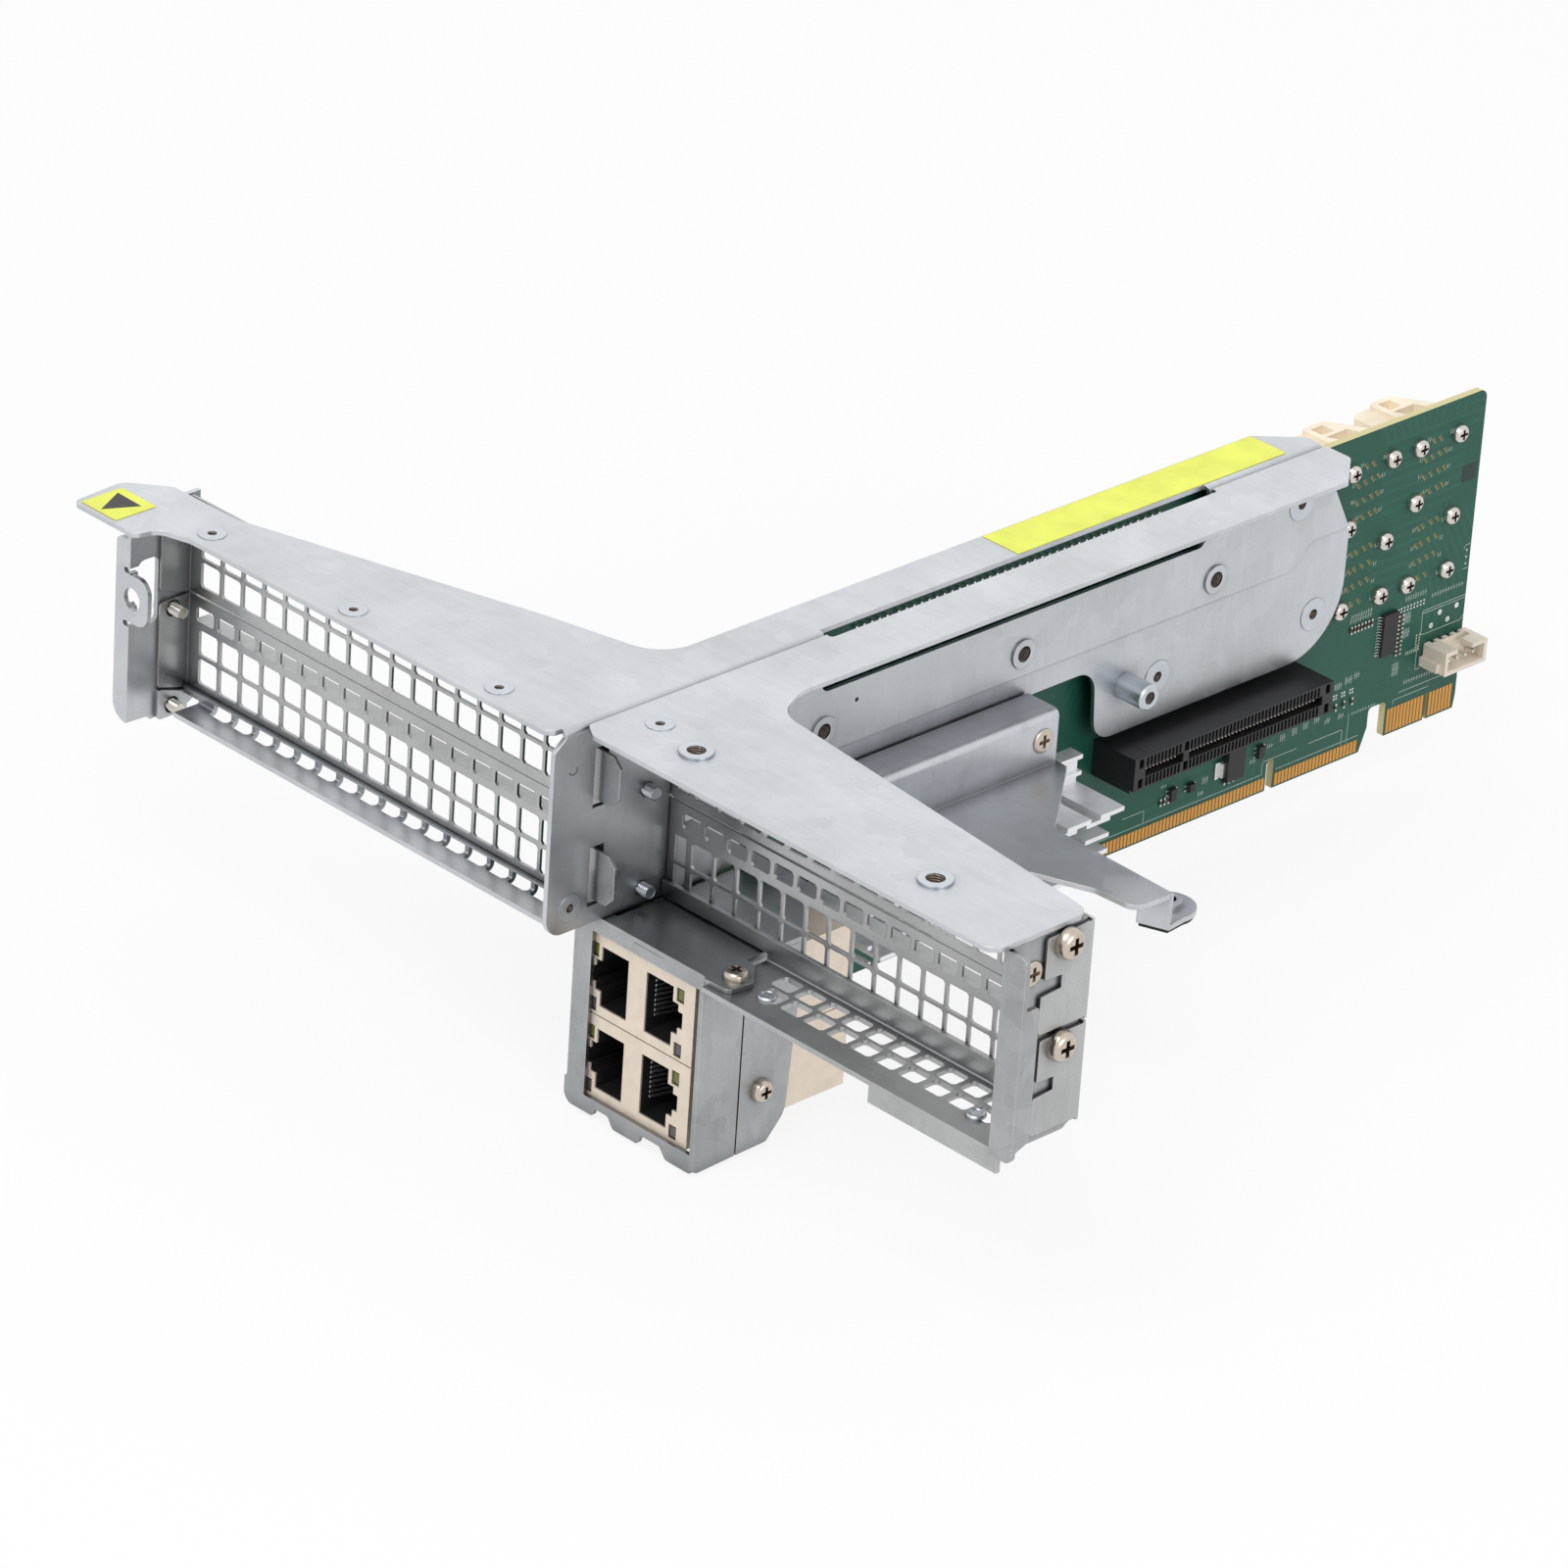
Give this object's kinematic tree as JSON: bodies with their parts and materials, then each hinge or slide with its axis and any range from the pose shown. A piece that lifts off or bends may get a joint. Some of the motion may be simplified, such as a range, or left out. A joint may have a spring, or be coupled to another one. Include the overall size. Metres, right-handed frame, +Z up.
{
  "type": "ethernet riser card",
  "caption": "Upright riser board in a folded, zinc-coated bracket with two wings of perforated slot covers and a caged stack of network ports.",
  "frame": {"origin": "middle of the long gold edge of the board, at its bottom and half way through the board's thickness", "axes": "+Z up, out of the riser slot; +Y from the rear panel into the server, along the board; +X to the side the network ports are on, seen from the rear panel to the right"},
  "size_m": [0.2355, 0.2633, 0.0839],
  "materials": {
    "galvanised_steel": "zinc-coated sheet, satin, faint spangle",
    "jack_shield": "tinned shield, warm satin",
    "gold_contact": "gold plate",
    "black_plastic": "moulded, matt",
    "chip_black": "moulded package, matt",
    "black_rubber": "matt",
    "board_green": "glass-fibre laminate with green mask",
    "sink_aluminium": "extruded, bright satin",
    "cream_plastic": "moulded, satin",
    "white_plastic": "moulded, satin",
    "nickel_screw": "nickel plate, bright",
    "zinc_nut": "zinc plate, bright",
    "solder": "tinned",
    "status_window": "clear tinted",
    "yellow_label": "printed film"
  },
  "bodies": {
    "root": {"main_bracket": "galvanised_steel", "right_bracket": "galvanised_steel", "left_end_bracket": "galvanised_steel", "right_end_bracket": "galvanised_steel", "upper_left_cover": "galvanised_steel", "lower_left_cover": "galvanised_steel", "upper_right_cover": "galvanised_steel", "lower_right_cover": "galvanised_steel", "left_bottom_rail": "galvanised_steel", "right_tray": "galvanised_steel", "support_arm": "galvanised_steel", "port_cage": "galvanised_steel", "cage_side_plate": "galvanised_steel", "arm_pad": "black_rubber", "upper_ethernet_jack": "jack_shield", "lower_ethernet_jack": "jack_shield", "upper_jack_insulator": "black_plastic", "lower_jack_insulator": "black_plastic", "upper_jack_contacts": "gold_contact", "lower_jack_contacts": "gold_contact", "status_windows": "status_window", "circuit_board": "board_green", "edge_contacts": "gold_contact", "x8_slot": "black_plastic", "upper_x16_slot": "black_plastic", "lower_x16_slot": "black_plastic", "slot_pins": "solder", "network_chip": "chip_black", "heat_sink": "sink_aluminium", "storage_connector_1": "cream_plastic", "storage_connector_2": "cream_plastic", "storage_connector_3": "cream_plastic", "storage_connector_4": "cream_plastic", "connector_screws": "nickel_screw", "board_spacers": "zinc_nut", "board_screws": "nickel_screw", "power_header": "white_plastic", "header_pins": "solder", "switch_chip": "chip_black", "regulator_chip": "chip_black", "flush_nuts": "zinc_nut", "threaded_bushes": "zinc_nut", "standoff": "zinc_nut", "cover_screws": "nickel_screw", "wall_screws": "nickel_screw", "flat_screws": "nickel_screw", "cage_screws": "zinc_nut", "tray_rivets": "zinc_nut", "long_label": "yellow_label", "arrow_label": "yellow_label"}
  },
  "joints": []
}
